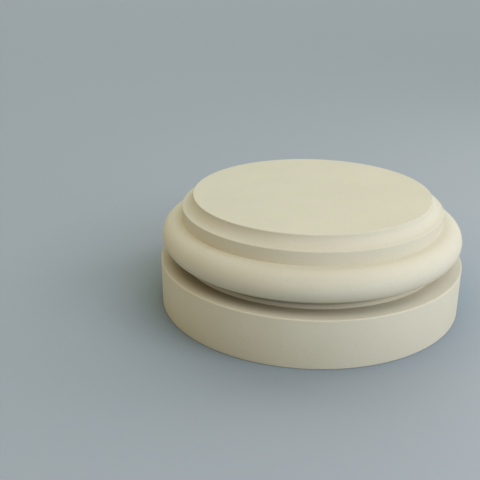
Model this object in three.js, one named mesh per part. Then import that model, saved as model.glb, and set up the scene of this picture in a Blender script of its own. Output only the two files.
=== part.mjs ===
// A Tuscan column base, cast in one piece and round all the way up. From the ground it is a deep plain
// plinth, a narrow fillet set back from it, a half-round torus, a second fillet, and a hollow cove that
// sweeps in to the flat seat for the shaft. The underside is flat, so the base stands by its own weight.
// Millimetres, +Z up. The origin is the middle of the underside.
import * as THREE from "three";

// Heights, from the ground up. The five members add up to 148 mm, just under half the seat's diameter.
const PLINTH_HEIGHT = 63;
const LOWER_FILLET_HEIGHT = 12;
const TORUS_HEIGHT = 41;
const UPPER_FILLET_HEIGHT = 17.5;
const COVE_HEIGHT = 14.5;

// How far each member reaches from the column's axis.
const PLINTH_RADIUS = 200;
const LOWER_FILLET_RADIUS = 172;
const TORUS_RADIUS = 197;
const UPPER_FILLET_RADIUS = 170.5;

// The cove is a quarter circle, so it draws in by as much as it rises.
const SEAT_RADIUS = UPPER_FILLET_RADIUS - COVE_HEIGHT;

// The outer edges are eased, as a mould leaves them.
const EASED_EDGE = 1;

// How finely the round forms are divided.
const TURN_STEPS = 120;
const TORUS_STEPS = 16;
const COVE_STEPS = 6;
const EASED_STEPS = 2;

const CAST_STONE_COLOUR = 0xd8d2b9;
const CAST_STONE_ROUGHNESS = 0.75;

const RIGHT = 0;
const UP = Math.PI / 2;
const LEFT = Math.PI;
const DOWN = -Math.PI / 2;

// Points along a circular arc of the section, in which x is the radius from the axis and y the height.
function arc(centreX, centreY, radius, from, to, steps) {
  const points = [];
  for (let i = 0; i <= steps; i += 1) {
    const angle = from + ((to - from) * i) / steps;
    points.push(
      new THREE.Vector2(
        centreX + radius * Math.cos(angle),
        centreY + radius * Math.sin(angle),
      ),
    );
  }
  return points;
}

// An outer edge under a level face: it turns from vertical to level on the way up.
function easedTop(radius, height) {
  return arc(radius - EASED_EDGE, height - EASED_EDGE, EASED_EDGE, RIGHT, UP, EASED_STEPS);
}

// The edge at the foot of a vertical face, above a level one that looks down.
function easedFoot(radius, height) {
  return arc(radius - EASED_EDGE, height + EASED_EDGE, EASED_EDGE, DOWN, RIGHT, EASED_STEPS);
}

// The plinth: a plain drum whose top shows as a ledge round the fillet.
function plinthSection() {
  return [...easedFoot(PLINTH_RADIUS, 0), ...easedTop(PLINTH_RADIUS, PLINTH_HEIGHT)];
}

// The lower fillet: a narrow upright band between the ledge and the torus.
function lowerFilletSection() {
  const top = PLINTH_HEIGHT + LOWER_FILLET_HEIGHT;
  return [
    new THREE.Vector2(LOWER_FILLET_RADIUS, PLINTH_HEIGHT),
    new THREE.Vector2(LOWER_FILLET_RADIUS, top),
  ];
}

// The torus: a half circle that swells out past both fillets, nearly to the face of the plinth.
function torusSection() {
  const sectionRadius = TORUS_HEIGHT / 2;
  const middle = PLINTH_HEIGHT + LOWER_FILLET_HEIGHT + sectionRadius;
  return arc(TORUS_RADIUS - sectionRadius, middle, sectionRadius, DOWN, UP, TORUS_STEPS);
}

// The upper fillet: an upright band that ends in an eased edge under the cove.
function upperFilletSection() {
  const foot = PLINTH_HEIGHT + LOWER_FILLET_HEIGHT + TORUS_HEIGHT;
  return [
    new THREE.Vector2(UPPER_FILLET_RADIUS, foot),
    ...easedTop(UPPER_FILLET_RADIUS, foot + UPPER_FILLET_HEIGHT),
  ];
}

// The cove: a hollow quarter circle from the fillet's level edge up to the upright edge of the seat.
// It stops short by the eased edges at both ends.
function coveSection() {
  const centreY =
    PLINTH_HEIGHT + LOWER_FILLET_HEIGHT + TORUS_HEIGHT + UPPER_FILLET_HEIGHT + COVE_HEIGHT;
  const eased = Math.asin(EASED_EDGE / COVE_HEIGHT);
  return arc(
    UPPER_FILLET_RADIUS,
    centreY,
    COVE_HEIGHT,
    DOWN - eased,
    eased - LEFT,
    COVE_STEPS,
  );
}

// The seat: a flat disc, with an eased edge, that the shaft stands on.
function seatSection() {
  const top =
    PLINTH_HEIGHT + LOWER_FILLET_HEIGHT + TORUS_HEIGHT + UPPER_FILLET_HEIGHT + COVE_HEIGHT;
  return [...easedTop(SEAT_RADIUS, top), new THREE.Vector2(0, top)];
}

// The whole section, turned about the column's axis. A lathe turns about Y, so it is stood up along Z.
function columnBaseGeometry() {
  const section = [
    new THREE.Vector2(0, 0),
    ...plinthSection(),
    ...lowerFilletSection(),
    ...torusSection(),
    ...upperFilletSection(),
    ...coveSection(),
    ...seatSection(),
  ];
  return new THREE.LatheGeometry(section, TURN_STEPS).rotateX(Math.PI / 2);
}

const castStone = new THREE.MeshStandardMaterial({
  color: CAST_STONE_COLOUR,
  roughness: CAST_STONE_ROUGHNESS,
  metalness: 0,
});

const columnBase = new THREE.Mesh(columnBaseGeometry(), castStone);
columnBase.name = "column_base";

const part = new THREE.Group();
part.add(columnBase);

export default part;
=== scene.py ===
import math

import bmesh
import bpy
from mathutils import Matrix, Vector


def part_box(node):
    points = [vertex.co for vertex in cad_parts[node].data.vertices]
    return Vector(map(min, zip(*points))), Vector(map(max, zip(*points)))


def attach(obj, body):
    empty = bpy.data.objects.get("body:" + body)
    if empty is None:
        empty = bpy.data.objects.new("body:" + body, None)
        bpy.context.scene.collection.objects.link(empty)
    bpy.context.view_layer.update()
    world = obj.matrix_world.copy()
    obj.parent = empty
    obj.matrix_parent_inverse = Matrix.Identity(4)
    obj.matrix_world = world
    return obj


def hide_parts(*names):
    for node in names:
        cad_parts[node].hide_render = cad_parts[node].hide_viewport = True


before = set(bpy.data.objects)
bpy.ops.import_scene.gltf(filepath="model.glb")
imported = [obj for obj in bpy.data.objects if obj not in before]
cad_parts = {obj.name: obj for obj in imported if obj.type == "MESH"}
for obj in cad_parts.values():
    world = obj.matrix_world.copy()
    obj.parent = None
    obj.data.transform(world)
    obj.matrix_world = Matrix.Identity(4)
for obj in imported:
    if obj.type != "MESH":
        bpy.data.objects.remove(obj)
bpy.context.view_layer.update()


# The camera stands in front of the base and a little to its left, looking down on it.
CAMERA_PLACE = (-0.0941, -0.9277, 0.4550)
CAMERA_DIP = math.radians(22.07)
CAMERA_LENS = 55.5
CAMERA_SENSOR = 36

bpy.ops.object.camera_add(location=CAMERA_PLACE, rotation=(math.pi / 2 - CAMERA_DIP, 0, 0))
camera = bpy.context.object
camera.name = "camera"
camera.data.lens = CAMERA_LENS
camera.data.sensor_width = CAMERA_SENSOR
bpy.context.scene.camera = camera


# The column base: one casting in fine cast stone, poured upside down in a smooth mould, so every face is
# even and every outer edge is slightly eased. It is round all the way up: a plain plinth, a fillet,
# a half-round torus, a second fillet, and a hollow cove under the flat seat for the shaft.
MM = 0.001
base_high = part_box("column_base")[1]
PLINTH_RADIUS = base_high.x
PLINTH_HEIGHT = 63 * MM
LOWER_FILLET_RADIUS = 172 * MM
LOWER_FILLET_HEIGHT = 12 * MM
TORUS_RADIUS = 197 * MM
TORUS_HEIGHT = 41 * MM
UPPER_FILLET_RADIUS = 170.5 * MM
UPPER_FILLET_HEIGHT = 17.5 * MM
COVE_FOOT = PLINTH_HEIGHT + LOWER_FILLET_HEIGHT + TORUS_HEIGHT + UPPER_FILLET_HEIGHT
COVE_HEIGHT = base_high.z - COVE_FOOT
SEAT_RADIUS = UPPER_FILLET_RADIUS - COVE_HEIGHT
EASED_EDGE = 1 * MM
HOLDING_EDGE = 0.5 * MM
SAME_PLACE = 0.01 * MM

TURN_STEPS = 256
TORUS_STEPS = 24
COVE_STEPS = 16
EASED_STEPS = 4
END_RINGS = 2
SMOOTH_ANGLE = math.radians(30)

# A bevel with this profile is a quarter circle. A normal's Z tells level and upright faces from the rest.
ROUND_PROFILE = 0.5
LEVEL_LEAST_Z = 0.9999
UPRIGHT_MOST_Z = 0.0001


def start_piece(obj, name):
    """Names a primitive, puts its place into its mesh and opens it in edit mode, nothing selected."""
    obj.name = name
    obj.data.name = name
    bpy.ops.object.select_all(action="DESELECT")
    obj.select_set(True)
    bpy.context.view_layer.objects.active = obj
    bpy.ops.object.transform_apply(location=True, rotation=True, scale=True)
    bpy.ops.object.mode_set(mode="EDIT")
    bpy.ops.mesh.select_all(action="DESELECT")


def select_faces(obj, wanted):
    """In edit mode, selects the faces for which wanted(face) is true, and nothing else."""
    bpy.ops.mesh.select_all(action="DESELECT")
    bpy.ops.mesh.select_mode(type="FACE")
    mesh = bmesh.from_edit_mesh(obj.data)
    for face in mesh.faces:
        face.select_set(wanted(face))
    bmesh.update_edit_mesh(obj.data)


def select_rings(obj, *rings):
    """In edit mode, selects the level rings of edges that lie at each given (radius, height)."""
    bpy.ops.mesh.select_all(action="DESELECT")
    bpy.ops.mesh.select_mode(type="EDGE")
    mesh = bmesh.from_edit_mesh(obj.data)
    for edge in mesh.edges:
        ends = [(vertex.co.xy.length, vertex.co.z) for vertex in edge.verts]
        on_ring = [all(math.dist(end, ring) < SAME_PLACE for end in ends) for ring in rings]
        edge.select_set(any(on_ring))
    bmesh.update_edit_mesh(obj.data)


def round_over(obj, width, steps, *rings):
    """Turns the square corner along each ring into a quarter circle of this width."""
    select_rings(obj, *rings)
    bpy.ops.mesh.bevel(offset=width, segments=steps, profile=ROUND_PROFILE, clamp_overlap=False)


def level_or_upright(face):
    """Whether a face belongs to a level or an upright surface, and not to a moulding or an eased edge."""
    steepness = abs(face.normal.z)
    return steepness > LEVEL_LEAST_Z or steepness < UPRIGHT_MOST_Z


# The blank: a drum for the plinth, whose top face is drawn up through one square step for each member.
blank_top = {"radius": PLINTH_RADIUS, "height": PLINTH_HEIGHT}


def draw_top(radius, height):
    """Draws the selected top face out to a new radius and height."""
    scale = radius / blank_top["radius"]
    bpy.ops.mesh.extrude_region_move(
        TRANSFORM_OT_translate={"value": (0, 0, height - blank_top["height"])}
    )
    bpy.ops.transform.resize(value=(scale, scale, 1), center_override=(0, 0, height))
    blank_top.update(radius=radius, height=height)


bpy.ops.object.select_all(action="DESELECT")
bpy.ops.mesh.primitive_cylinder_add(
    vertices=TURN_STEPS,
    radius=PLINTH_RADIUS,
    depth=PLINTH_HEIGHT,
    location=(0, 0, PLINTH_HEIGHT / 2),
)
casting = bpy.context.object
start_piece(casting, "column_base_casting")
select_faces(casting, lambda face: face.normal.z > LEVEL_LEAST_Z)

torus_foot = PLINTH_HEIGHT + LOWER_FILLET_HEIGHT
torus_top = torus_foot + TORUS_HEIGHT
draw_top(LOWER_FILLET_RADIUS, PLINTH_HEIGHT)
draw_top(LOWER_FILLET_RADIUS, torus_foot)
draw_top(TORUS_RADIUS, torus_foot)
draw_top(TORUS_RADIUS, torus_top)
draw_top(UPPER_FILLET_RADIUS, torus_top)
draw_top(UPPER_FILLET_RADIUS, COVE_FOOT)
draw_top(SEAT_RADIUS, COVE_FOOT)
draw_top(SEAT_RADIUS, base_high.z)

# The mouldings: the torus is rounded over from its two corners, and the cove is hollowed out of its own.
round_over(
    casting, TORUS_HEIGHT / 2, TORUS_STEPS, (TORUS_RADIUS, torus_foot), (TORUS_RADIUS, torus_top)
)
round_over(casting, COVE_HEIGHT, COVE_STEPS, (SEAT_RADIUS, COVE_FOOT))
bpy.ops.mesh.select_all(action="SELECT")
bpy.ops.mesh.remove_doubles(threshold=SAME_PLACE)
round_over(
    casting,
    EASED_EDGE,
    EASED_STEPS,
    (PLINTH_RADIUS, 0),
    (PLINTH_RADIUS, PLINTH_HEIGHT),
    (UPPER_FILLET_RADIUS, COVE_FOOT),
    (SEAT_RADIUS, base_high.z),
)

# Level and upright faces get a narrow border, so that the shading of the eased edges doesn't run across
# them. The two round ends are then closed by rings of faces that meet in the middle.
select_faces(casting, level_or_upright)
bpy.ops.mesh.inset(thickness=HOLDING_EDGE)
select_faces(casting, lambda face: len(face.verts) == TURN_STEPS)
for _ in range(END_RINGS):
    bpy.ops.mesh.inset(thickness=SEAT_RADIUS / (END_RINGS + 1))
bpy.ops.mesh.poke()
bpy.ops.mesh.select_all(action="SELECT")
bpy.ops.mesh.normals_make_consistent(inside=False)
bpy.ops.object.mode_set(mode="OBJECT")
bpy.ops.object.shade_smooth_by_angle(angle=SMOOTH_ANGLE)

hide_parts("column_base")
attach(casting, "root")


def linear(hex_colour):
    """An sRGB hex colour as the linear RGBA that a shader takes."""
    shades = [int(hex_colour[i : i + 2], 16) / 255 for i in (1, 3, 5)]
    return [s / 12.92 if s <= 0.04045 else ((s + 0.055) / 1.055) ** 2.4 for s in shades] + [1]


def new_material(name):
    """A new material with an empty node tree."""
    material = bpy.data.materials.new(name)
    material.use_nodes = True
    material.node_tree.nodes.clear()
    return material


def add_node(material, kind, settings, links):
    """Adds a node. Settings are its properties and inputs by name or number, links its inputs' sources."""
    node = material.node_tree.nodes.new("ShaderNode" + kind)
    for key, value in settings.items():
        if key in node.inputs.keys() or isinstance(key, int):
            node.inputs[key].default_value = value
        else:
            setattr(node, key, value)
    for key, source in links.items():
        material.node_tree.links.new(source, node.inputs[key])
    return node


# Fine cast stone: white cement with crushed limestone and fine sand, poured into a smooth mould and
# lightly washed. To the eye it is an even ivory with faint clouds, a matt sandy grain, a few pin holes and
# edges rubbed a little paler. Painted shade darkens the pin holes, the groove under the torus and the
# foot.
PALE_IVORY = linear("#E4DDC4")
DEEP_IVORY = linear("#DCD5BC")
SAND_TINT = linear("#F3F1EC")
# Painted shade in the groove under the torus.
GROOVE_SHADE_TINT = linear("#8C806A")
# Darker painted shade where the fillet meets the torus.
UNDERSIDE_SHADE_TINT = linear("#2A2318")
# Painted shade at the foot of the plinth.
FOOT_SHADE_TINT = linear("#F0EFEB")
RUBBED_IVORY = linear("#EBE6D2")
# Painted shade inside the pin holes.
HOLE_SHADE_TINT = linear("#B4AE9F")

CLOUD_WIDTH = 60 * MM
CLOUD_DETAIL = 3
GRAIN_WIDTH = 1.4 * MM
GRAIN_DETAIL = 1
GRAIN_HEIGHT = 0.03 * MM
SHELTER_SAMPLES = 8
# The painted shade in the groove: its reach, its top, and how much it fades on the lit back right.
GROOVE_SHADE_REACH = 20 * MM
GROOVE_SHADE_TOP = torus_foot + 9 * MM
GROOVE_SHADE_EDGE = 5 * MM
SHADED_SIDE = (-math.sqrt(0.5), -math.sqrt(0.5), 0)
LIT_SIDE_SHARE = 0.2
# Where the darker painted shade under the torus starts, and how strong it is.
UNDERSIDE_SHADE_FOOT = torus_foot - 8.5 * MM
UNDERSIDE_SHADE_EDGE = 3.5 * MM
UNDERSIDE_SHADE_SHARE = 1.25
# How high the painted shade at the foot of the plinth reaches.
FOOT_SHADE_TOP = 50 * MM
RUBBED_REACH = 3 * MM
RUBBED_SHARE = 0.25
HOLE_SPACING = 13 * MM
HOLE_RADIUS = 0.45 * MM
HOLE_FLOOR_RADIUS = HOLE_RADIUS / 2
HOLE_DEPTH = 0.3 * MM
SMOOTHEST, ROUGHEST = 0.76, 0.86

# A Mix node's colour sockets share their names with its other sockets, so they go by number.
MIX_A, MIX_B, MIX_RESULT = 6, 7, 2

stone = new_material("fine_cast_stone")
coordinates = add_node(stone, "TexCoord", {}, {})
place = coordinates.outputs["Object"]

# The clouds come from uneven mixing and drying. The real sand, of about 0.3 mm, is too fine to show in
# the render, so the grain is drawn coarser.
clouds = add_node(
    stone,
    "TexNoise",
    {"Scale": 1 / CLOUD_WIDTH, "Detail": CLOUD_DETAIL},
    {"Vector": place},
)
grain = add_node(
    stone,
    "TexNoise",
    {"Scale": 1 / GRAIN_WIDTH, "Detail": GRAIN_DETAIL},
    {"Vector": place},
)
ivory = add_node(
    stone,
    "Mix",
    {"data_type": "RGBA", MIX_A: PALE_IVORY, MIX_B: DEEP_IVORY},
    {"Factor": clouds.outputs["Fac"]},
)
sandy = add_node(
    stone,
    "Mix",
    {"data_type": "RGBA", "blend_type": "MULTIPLY", MIX_B: SAND_TINT},
    {"Factor": grain.outputs["Fac"], MIX_A: ivory.outputs[MIX_RESULT]},
)

# Rubbed edges: close to an outer edge, most ways into the stone soon come out of it again.
inward = add_node(
    stone,
    "AmbientOcclusion",
    {"only_local": True, "inside": True, "samples": SHELTER_SAMPLES, "Distance": RUBBED_REACH},
    {},
)
rubbed = add_node(
    stone,
    "MapRange",
    {"From Min": 1, "From Max": 0, "To Max": RUBBED_SHARE},
    {"Value": inward.outputs["AO"]},
)
worn = add_node(
    stone,
    "Mix",
    {"data_type": "RGBA", MIX_B: RUBBED_IVORY},
    {"Factor": rubbed.outputs["Result"], MIX_A: sandy.outputs[MIX_RESULT]},
)

# Painted shade in the groove under the torus: the ledge and the underside of the torus are darkened,
# most in the corners and at the front left, the side away from the light. A darker painted shade lies on
# the two surfaces where the top of the fillet meets the torus, also most at the front left.
outward = add_node(
    stone,
    "AmbientOcclusion",
    {"only_local": True, "samples": SHELTER_SAMPLES, "Distance": GROOVE_SHADE_REACH},
    {},
)
closed_in = add_node(stone, "Math", {"operation": "SUBTRACT", 0: 1}, {1: outward.outputs["AO"]})
spot = add_node(stone, "SeparateXYZ", {}, {"Vector": place})
below_torus = add_node(
    stone,
    "MapRange",
    {"From Min": GROOVE_SHADE_TOP, "From Max": GROOVE_SHADE_TOP - GROOVE_SHADE_EDGE},
    {"Value": spot.outputs["Z"]},
)
towards_shade = add_node(stone, "VectorMath", {"operation": "DOT_PRODUCT", 1: SHADED_SIDE}, {0: place})
side = add_node(
    stone,
    "MapRange",
    {"From Min": PLINTH_RADIUS, "From Max": 0, "To Min": 1, "To Max": LIT_SIDE_SHARE},
    {"Value": towards_shade.outputs["Value"]},
)
tilt = add_node(stone, "SeparateXYZ", {}, {"Vector": coordinates.outputs["Normal"]}).outputs["Z"]
level = add_node(stone, "Math", {"operation": "ABSOLUTE"}, {0: tilt})
in_groove = add_node(
    stone,
    "Math",
    {"operation": "MULTIPLY"},
    {0: closed_in.outputs["Value"], 1: below_torus.outputs["Result"]},
)
groove_shade = add_node(
    stone,
    "Math",
    {"operation": "MULTIPLY"},
    {0: in_groove.outputs["Value"], 1: side.outputs["Result"]},
)
level_shade = add_node(
    stone,
    "Math",
    {"operation": "MULTIPLY"},
    {0: groove_shade.outputs["Value"], 1: level.outputs["Value"]},
)
groove_shaded = add_node(
    stone,
    "Mix",
    {"data_type": "RGBA", "blend_type": "MULTIPLY", MIX_B: GROOVE_SHADE_TINT},
    {"Factor": level_shade.outputs["Value"], MIX_A: worn.outputs[MIX_RESULT]},
)
# Darker painted shade where the fillet meets the torus, most at the front left.
under_torus = add_node(
    stone,
    "MapRange",
    {"From Min": UNDERSIDE_SHADE_FOOT, "From Max": UNDERSIDE_SHADE_FOOT + UNDERSIDE_SHADE_EDGE, "To Max": UNDERSIDE_SHADE_SHARE},
    {"Value": spot.outputs["Z"]},
)
underside_shade = add_node(
    stone,
    "Math",
    {"operation": "MULTIPLY"},
    {0: groove_shade.outputs["Value"], 1: under_torus.outputs["Result"]},
)
underside_shaded = add_node(
    stone,
    "Mix",
    {"data_type": "RGBA", "blend_type": "MULTIPLY", MIX_B: UNDERSIDE_SHADE_TINT},
    {"Factor": underside_shade.outputs["Value"], MIX_A: groove_shaded.outputs[MIX_RESULT]},
)

# Painted shade: the foot of the plinth is a little darker towards the floor, most on the front left.
low_down = add_node(
    stone, "MapRange", {"From Min": FOOT_SHADE_TOP, "From Max": 0}, {"Value": spot.outputs["Z"]}
)
foot_shade = add_node(
    stone,
    "Math",
    {"operation": "MULTIPLY"},
    {0: low_down.outputs["Result"], 1: side.outputs["Result"]},
)
foot_shaded = add_node(
    stone,
    "Mix",
    {"data_type": "RGBA", "blend_type": "MULTIPLY", MIX_B: FOOT_SHADE_TINT},
    {"Factor": foot_shade.outputs["Value"], MIX_A: underside_shaded.outputs[MIX_RESULT]},
)

# Pin holes: small round pits, few and scattered, where air was trapped against the mould. Their darker
# tint is painted shade inside the pits.
bubbles = add_node(stone, "TexVoronoi", {"Scale": 1 / HOLE_SPACING}, {"Vector": place})
holes = add_node(
    stone,
    "MapRange",
    {"From Min": HOLE_RADIUS / HOLE_SPACING, "From Max": HOLE_FLOOR_RADIUS / HOLE_SPACING},
    {"Value": bubbles.outputs["Distance"]},
)
pitted = add_node(
    stone,
    "Mix",
    {"data_type": "RGBA", "blend_type": "MULTIPLY", MIX_B: HOLE_SHADE_TINT},
    {"Factor": holes.outputs["Result"], MIX_A: foot_shaded.outputs[MIX_RESULT]},
)

grain_relief = add_node(stone, "Bump", {"Distance": GRAIN_HEIGHT}, {"Height": grain.outputs["Fac"]})
relief = add_node(
    stone,
    "Bump",
    {"invert": True, "Distance": HOLE_DEPTH},
    {"Height": holes.outputs["Result"], "Normal": grain_relief.outputs["Normal"]},
)
roughness = add_node(
    stone,
    "MapRange",
    {"To Min": SMOOTHEST, "To Max": ROUGHEST},
    {"Value": clouds.outputs["Fac"]},
)
stone_surface = add_node(
    stone,
    "BsdfPrincipled",
    {},
    {
        "Base Color": pitted.outputs[MIX_RESULT],
        "Roughness": roughness.outputs["Result"],
        "Normal": relief.outputs["Normal"],
    },
)
add_node(stone, "OutputMaterial", {}, {"Surface": stone_surface.outputs["BSDF"]})
casting.data.materials.clear()
casting.data.materials.append(stone)


# The floor: a plain studio floor in pale blue-grey paint, matt, and wide enough to fill the view. It has a
# painted shadow close round the base, darker on the left.
FLOOR_SIZE = 60
FLOOR_COLOUR = linear("#A8AFB3")
FLOOR_ROUGHNESS = 0.9
# The painted contact shadow round the base, stronger on the left.
CONTACT_SHADOW_TINT = linear("#76979E")
CONTACT_SHADOW_REACH = 300 * MM
LEAST_SHADE, MOST_SHADE = 0.7, 1.3

bpy.ops.object.select_all(action="DESELECT")
bpy.ops.mesh.primitive_plane_add(size=FLOOR_SIZE)
floor = bpy.context.object
floor.name = "floor"
paint = new_material("matt_floor_paint")
# Painted contact shadow: the floor is darker where the base is near, most on the left.
nearness = add_node(
    paint,
    "AmbientOcclusion",
    {"samples": SHELTER_SAMPLES, "Distance": CONTACT_SHADOW_REACH},
    {},
)
closeness = add_node(paint, "Math", {"operation": "SUBTRACT", 0: 1}, {1: nearness.outputs["AO"]})
floor_place = add_node(paint, "TexCoord", {}, {}).outputs["Object"]
floor_spot = add_node(paint, "SeparateXYZ", {}, {"Vector": floor_place})
shadow_side = add_node(
    paint,
    "MapRange",
    {"From Min": PLINTH_RADIUS, "From Max": -PLINTH_RADIUS, "To Min": LEAST_SHADE, "To Max": MOST_SHADE},
    {"Value": floor_spot.outputs["X"]},
)
contact = add_node(
    paint,
    "Math",
    {"operation": "MULTIPLY"},
    {0: closeness.outputs["Value"], 1: shadow_side.outputs["Result"]},
)
shaded = add_node(
    paint,
    "Mix",
    {"data_type": "RGBA", "blend_type": "MULTIPLY", MIX_A: FLOOR_COLOUR, MIX_B: CONTACT_SHADOW_TINT},
    {"Factor": contact.outputs["Value"]},
)
paint_surface = add_node(
    paint, "BsdfPrincipled", {"Roughness": FLOOR_ROUGHNESS}, {"Base Color": shaded.outputs[MIX_RESULT]}
)
add_node(paint, "OutputMaterial", {}, {"Surface": paint_surface.outputs["BSDF"]})
floor.data.materials.append(paint)


# The light: a plain studio with grey walls. Three wide soft boxes far off light the base from the front
# right, the back and, in a warmer tone, the left. Two round lamps stand close by on its right.
# A bearing is measured from the camera's side, counted towards the right, and a rise from the floor.
WALL_COLOUR = linear("#959595")
LIT_HEIGHT = 70 * MM
LAMP_WIDTH = 600 * MM


def aim(bearing, rise):
    """The rotation of a light that shines at the base from this bearing and rise, in degrees."""
    return (math.radians(90 - rise), 0, math.radians(bearing))


def soft_box(name, bearing, rise, spread, strength, colour):
    """A far soft box, given by the angle that it fills as seen from the base."""
    bpy.ops.object.light_add(type="SUN", rotation=aim(bearing, rise))
    light = bpy.context.object
    light.name = name
    light.data.angle = math.radians(spread)
    light.data.energy = strength
    light.data.color = linear(colour)[:3]


def round_lamp(name, bearing, rise, distance, power, colour):
    """A round diffused lamp at this distance from the middle of the base."""
    turn, lift = math.radians(bearing), math.radians(rise)
    away = distance * math.cos(lift)
    spot = (away * math.sin(turn), -away * math.cos(turn), LIT_HEIGHT + distance * math.sin(lift))
    bpy.ops.object.light_add(type="AREA", location=spot, rotation=aim(bearing, rise))
    light = bpy.context.object
    light.name = name
    light.data.shape = "DISK"
    light.data.size = LAMP_WIDTH
    light.data.energy = power
    light.data.color = linear(colour)[:3]


soft_box("front_box", bearing=45, rise=45, spread=60, strength=1.36, colour="#CFE4FF")
soft_box("back_box", bearing=180, rise=25, spread=80, strength=1.06, colour="#E4FFFB")
soft_box("left_box", bearing=290, rise=50, spread=60, strength=0.58, colour="#FFD87E")
round_lamp("front_lamp", bearing=50, rise=20, distance=1.0, power=2.74, colour="#F8F5FF")
round_lamp("side_lamp", bearing=110, rise=30, distance=1.4, power=3.3, colour="#FFF4F6")

room = bpy.data.worlds.new("pale_room")
room.use_nodes = True
room.node_tree.nodes["Background"].inputs["Color"].default_value = WALL_COLOUR
bpy.context.scene.world = room
bpy.context.scene.view_settings.view_transform = "Standard"
